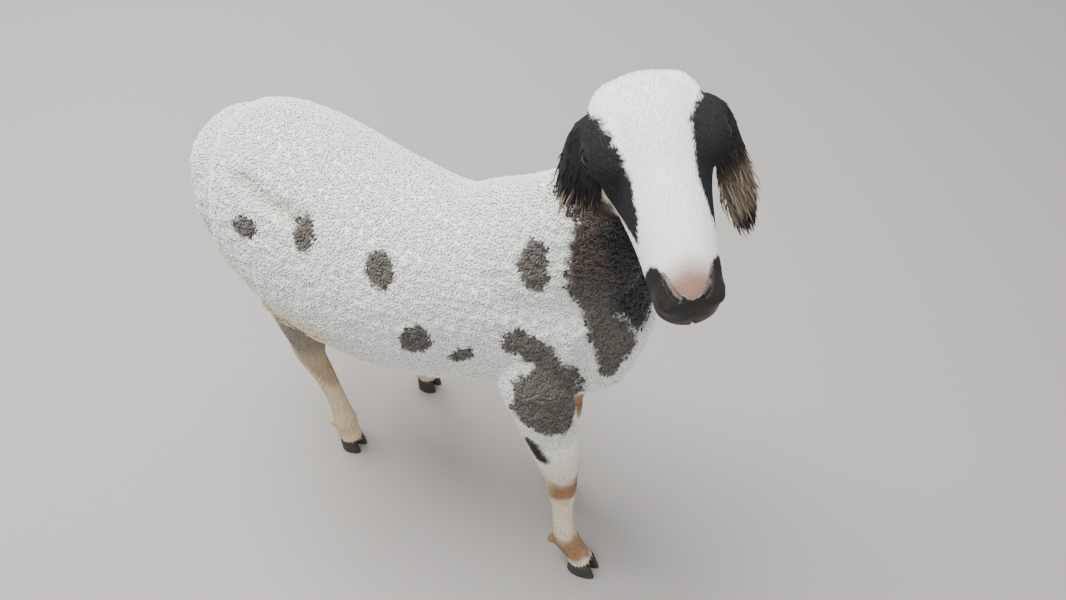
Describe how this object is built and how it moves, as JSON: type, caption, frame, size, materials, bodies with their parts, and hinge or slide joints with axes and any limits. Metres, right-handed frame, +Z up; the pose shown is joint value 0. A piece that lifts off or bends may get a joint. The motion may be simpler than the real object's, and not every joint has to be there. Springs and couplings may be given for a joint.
{
  "type": "dumba sheep, standing, still model",
  "caption": "Young fat-tailed sheep standing with its head turned and raised: white fleece of close clumps, dark patches, long hanging ears and black muzzle.",
  "frame": {"origin": "on the floor under the middle of the animal's bounding box", "axes": "+X the way the body faces, +Y the animal's left, +Z up; the head is turned to the animal's right"},
  "size_m": [0.6737, 0.2674, 0.8186],
  "materials": {
    "fleece": "matt white wool in tight curls, with dark grey-brown speckled patches",
    "short_hair": "short close hair, white blaze between black eye patches, black muzzle and pink nose",
    "dark_hair": "black short hair turning to long brown and cream hair with dark tips",
    "leg_hair": "short cream and tan hair",
    "eye": "wet brown iris with a dark level pupil",
    "claw": "black horn"
  },
  "bodies": {
    "root": {"torso": "fleece", "neck": "fleece", "tail": "fleece", "head": "short_hair", "ear_right": "dark_hair", "ear_left": "dark_hair", "eye_right": "eye", "eye_left": "eye", "leg_front_right": "leg_hair", "leg_front_left": "leg_hair", "leg_hind_right": "leg_hair", "leg_hind_left": "leg_hair", "claw_front_right_right": "claw", "claw_front_right_left": "claw", "claw_front_left_right": "claw", "claw_front_left_left": "claw", "claw_hind_right_right": "claw", "claw_hind_right_left": "claw", "claw_hind_left_right": "claw", "claw_hind_left_left": "claw"}
  },
  "joints": []
}
